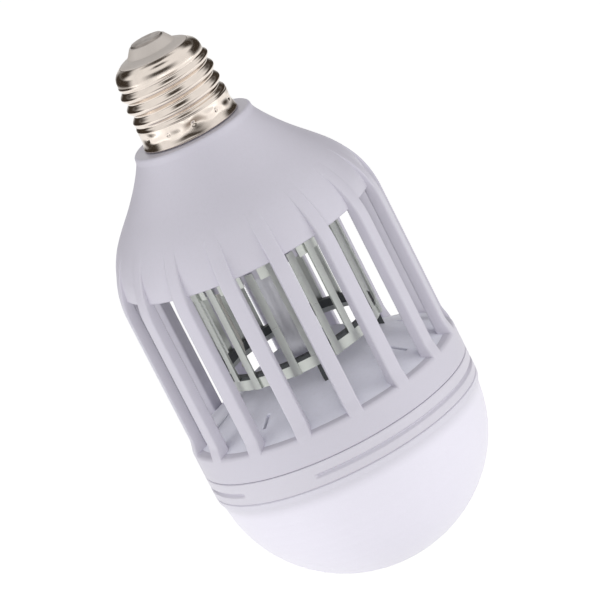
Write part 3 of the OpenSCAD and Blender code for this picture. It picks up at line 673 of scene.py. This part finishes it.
def grip_ring():
    """The ring below the band: rounded edges at both split lines, and a soft grip groove whose
    depth follows a raised cosine over the height and fades out at two plain lands."""
    top, foot = BAND_END, RING_END
    face = np.linspace(top + RING_MARGIN, foot - RING_MARGIN, 35)
    dip = np.clip(1 - np.abs(face - top - GROOVE_DROP) / GROOVE_REACH, 0, 1)
    dip = GROOVE_T * (0.5 - 0.5 * np.cos(math.pi * dip))
    angle = ring_angles(600)
    off_land = np.abs((angle - LAND_FIRST + math.pi / 2) % math.pi - math.pi / 2)
    open_groove = np.clip((off_land - LAND_HALF) / GROOVE_FADE, 0, 1)
    upper = arc((BAND_R - RING_TOP_ROUND, top + RING_TOP_ROUND), RING_TOP_ROUND, -90, 0, 5)
    lower = arc((BAND_R - RING_FOOT_ROUND, foot - RING_FOOT_ROUND), RING_FOOT_ROUND, 0, 90, 7)
    head = np.vstack([[[RING_IN_R, top]], upper])
    tail = np.vstack([lower, [[RING_IN_R, foot]]])
    radius = np.vstack([head[:, :1] + 0 * angle, BAND_R - dip[:, None] * open_groove,
                        tail[:, :1] + 0 * angle])
    depth = np.concatenate([head[:, 1], face, tail[:, 1]])[:, None]
    points = polar(radius, angle[None, :], -depth)
    quads = grid_quads(len(depth), len(angle), close_rows=True, flip=True)
    return mesh_piece("grip_ring", points.reshape(-1, 3), quads, "ring_plastic", ("base_ring",))


def housing():
    """The moulding as the camera sees it: shoulder wall, ribs and band with soft edges."""
    bell = turned(bell_profile(), HOUSING_COLUMNS)
    band = turned(band_profile(), HOUSING_COLUMNS)
    parts = joined([bell, band, ribs()])
    return mesh_piece("ribbed_housing", *parts, "housing_plastic", ("cage_housing",))


screw_shell()
cap_insulator()
housing()
catch_deck()
grip_ring()


# Floor, light and camera


def white_behind(tree, dim_shader, bright_shader):
    """Mixes to the bright shader for camera, glossy and transmission rays."""
    path = add(tree, "ShaderNodeLightPath")
    seen = math_node(tree, "MAXIMUM", path.outputs["Is Camera Ray"], path.outputs["Is Glossy Ray"])
    seen = math_node(tree, "MAXIMUM", seen, path.outputs["Is Transmission Ray"])
    return add(tree, "ShaderNodeMixShader", {0: seen, 1: dim_shader, 2: bright_shader}).outputs[0]


FLOOR_R_M = 14
FLOOR_Z_M = -0.215
FLOOR_GLOW = 0.42
WORLD_LIGHT = 0.6
DARK = (0.05, 0.04, 0.031)
WARM_GREY = (0.30, 0.25, 0.21)


def floor():
    """A wide pale disc below the lamp, which hangs by its cap."""
    bpy.ops.mesh.primitive_circle_add(vertices=96, radius=FLOOR_R_M, fill_type="NGON",
                                      location=(0, 0, FLOOR_Z_M))
    disc = bpy.context.object
    disc.name = "studio_floor"
    material = bpy.data.materials.new("studio_floor")
    material.use_nodes = True
    tree = material.node_tree
    shader = tree.nodes["Principled BSDF"]
    where = add(tree, "ShaderNodeTexCoord").outputs["Object"]
    tone = add(tree, "ShaderNodeMapRange",
               {"Value": noise(tree, where, 9, 3), "To Min": 0.93, "To Max": 0.97}).outputs["Result"]
    tree.links.new(tone, shader.inputs["Base Color"])
    shader.inputs["Roughness"].default_value = 0.9
    glow = add(tree, "ShaderNodeEmission", {"Color": (1, 1, 1, 1), "Strength": FLOOR_GLOW}).outputs[0]
    both = add(tree, "ShaderNodeAddShader", {0: shader.outputs[0], 1: glow}).outputs[0]
    mixed = white_behind(tree, shader.outputs[0], both)
    tree.links.new(mixed, tree.nodes["Material Output"].inputs["Surface"])
    disc.data.materials.append(material)


def studio_world(dim):
    """Even white surroundings: pure white where they are seen, dimmer as a light."""
    world = bpy.data.worlds.new("studio")
    bpy.context.scene.world = world
    world.use_nodes = True
    tree = world.node_tree
    tree.nodes.clear()
    soft = add(tree, "ShaderNodeBackground", {"Color": (1, 1, 1, 1), "Strength": dim}).outputs[0]
    white = add(tree, "ShaderNodeBackground", {"Color": (1, 1, 1, 1), "Strength": 1.0}).outputs[0]
    out = tree.nodes.new("ShaderNodeOutputWorld")
    tree.links.new(white_behind(tree, soft, white), out.inputs["Surface"])


def soft_box(name, place, width, height, watts):
    """A rectangular soft light that faces the lamp's middle."""
    data = bpy.data.lights.new(name, "AREA")
    data.shape = "RECTANGLE"
    data.size, data.size_y = width, height
    data.energy = watts
    light = bpy.data.objects.new(name, data)
    bpy.context.scene.collection.objects.link(light)
    light.location = place
    light.rotation_euler = (AIM - Vector(place)).to_track_quat("-Z", "Y").to_euler()
    light.visible_glossy = False


def soft_card(name, azimuth, rise, shade=DARK, fade=0.35, distance=0.45):
    """A card round the cap that only reflections see: a patch of a sphere between two azimuths
    from the camera's side and two rises in degrees, which fades out towards its edges."""
    columns, rows = 25, 17
    across = np.linspace(0, 1, columns)[None, :]
    upward = np.linspace(0, 1, rows)[:, None]
    turn = FRONT + np.radians(azimuth[0] + (azimuth[1] - azimuth[0]) * across)
    lift = np.radians(rise[0] + (rise[1] - rise[0]) * upward)
    flat = polar(np.cos(lift) + 0 * turn, turn + 0 * lift, np.sin(lift) + 0 * turn) * distance
    quads = grid_quads(rows, columns, close_columns=False)
    mesh = bpy.data.meshes.new(name)
    mesh.from_pydata(flat.reshape(-1, 3).tolist(), [], quads.tolist())
    spread = np.stack([across + 0 * upward, upward + 0 * across], axis=-1).reshape(-1, 2)
    corner = np.empty(len(mesh.loops), int)
    mesh.loops.foreach_get("vertex_index", corner)
    mesh.uv_layers.new(name="spread").data.foreach_set("uv", spread[corner].ravel())
    material = bpy.data.materials.new(name)
    material.use_nodes = True
    tree = material.node_tree
    tree.nodes.remove(tree.nodes["Principled BSDF"])
    place = add(tree, "ShaderNodeSeparateXYZ", {0: add(tree, "ShaderNodeTexCoord").outputs["UV"]})
    edges = []
    for axis in ("X", "Y"):
        centred = math_node(tree, "SUBTRACT", place.outputs[axis], 0.5)
        off_middle = math_node(tree, "ABSOLUTE", centred, None)
        inputs = {"Value": off_middle, "From Min": 0.5, "From Max": 0.5 - fade}
        edges.append(add(tree, "ShaderNodeMapRange", inputs,
                         interpolation_type="SMOOTHSTEP").outputs["Result"])
    mask = math_node(tree, "MULTIPLY", *edges)
    face = add(tree, "ShaderNodeEmission", {"Color": (*shade, 1), "Strength": 1.0}).outputs[0]
    clear = tree.nodes.new("ShaderNodeBsdfTransparent").outputs[0]
    mixed = add(tree, "ShaderNodeMixShader", {0: mask, 1: clear, 2: face}).outputs[0]
    tree.links.new(mixed, tree.nodes["Material Output"].inputs["Surface"])
    mesh.materials.append(material)
    card = bpy.data.objects.new(name, mesh)
    bpy.context.scene.collection.objects.link(card)
    card.visible_camera = card.visible_diffuse = False
    card.visible_transmission = card.visible_shadow = False


def set_camera():
    """The camera looks along the line to the lamp's middle, turned about that line until the
    axis leans as in the photograph, and shifted to put the middle on its pixel."""
    towards = Vector((math.cos(CAMERA_RISE) * math.cos(FRONT), math.cos(CAMERA_RISE) * math.sin(FRONT),
                      math.sin(CAMERA_RISE)))
    level = Vector((0, 0, 1)).cross(towards).normalized()
    upright = towards.cross(level)
    right = level * math.cos(CAMERA_LEAN) - upright * math.sin(CAMERA_LEAN)
    up = towards.cross(right)
    turn = Matrix((right, up, towards)).transposed().to_4x4()
    data = bpy.data.cameras.new("camera")
    data.sensor_width = SENSOR
    data.lens = SENSOR * FOCAL_PIXELS / IMAGE_SIDE
    data.clip_start, data.clip_end = 0.05, 60
    data.shift_x = (IMAGE_SIDE / 2 - AIM_PIXEL[0]) / IMAGE_SIDE
    data.shift_y = (AIM_PIXEL[1] - IMAGE_SIDE / 2) / IMAGE_SIDE
    camera = bpy.data.objects.new("camera", data)
    camera.matrix_world = Matrix.Translation(AIM + towards * CAMERA_DISTANCE) @ turn
    bpy.context.scene.collection.objects.link(camera)
    bpy.context.scene.camera = camera


floor()
studio_world(WORLD_LIGHT)
soft_box("left", (-1.4, -0.2, 0.05), 0.9, 0.5, 5.8)
soft_box("right", (1.4, -0.2, 0.05), 0.9, 0.5, 4.9)
soft_box("front", (0.15, -1.5, -0.05), 1.4, 0.3, 5.5)
soft_card("front_card", (-62, 56), (-6, 36), fade=0.4)
soft_card("low_card", (-30, 44), (-34, -4), WARM_GREY, fade=0.4, distance=0.09)
soft_card("left_card", (-178, -78), (-14, 30), fade=0.25)
soft_card("right_card", (78, 178), (-14, 30), fade=0.25)
soft_card("left_high_card", (-178, -106), (14, 56))
soft_card("right_high_card", (106, 178), (14, 56))
soft_card("oval_card", (-52, 52), (55, 82))
soft_card("rim_card", (-70, 70), (88, 122))
set_camera()

bpy.context.scene.view_settings.view_transform = "Standard"
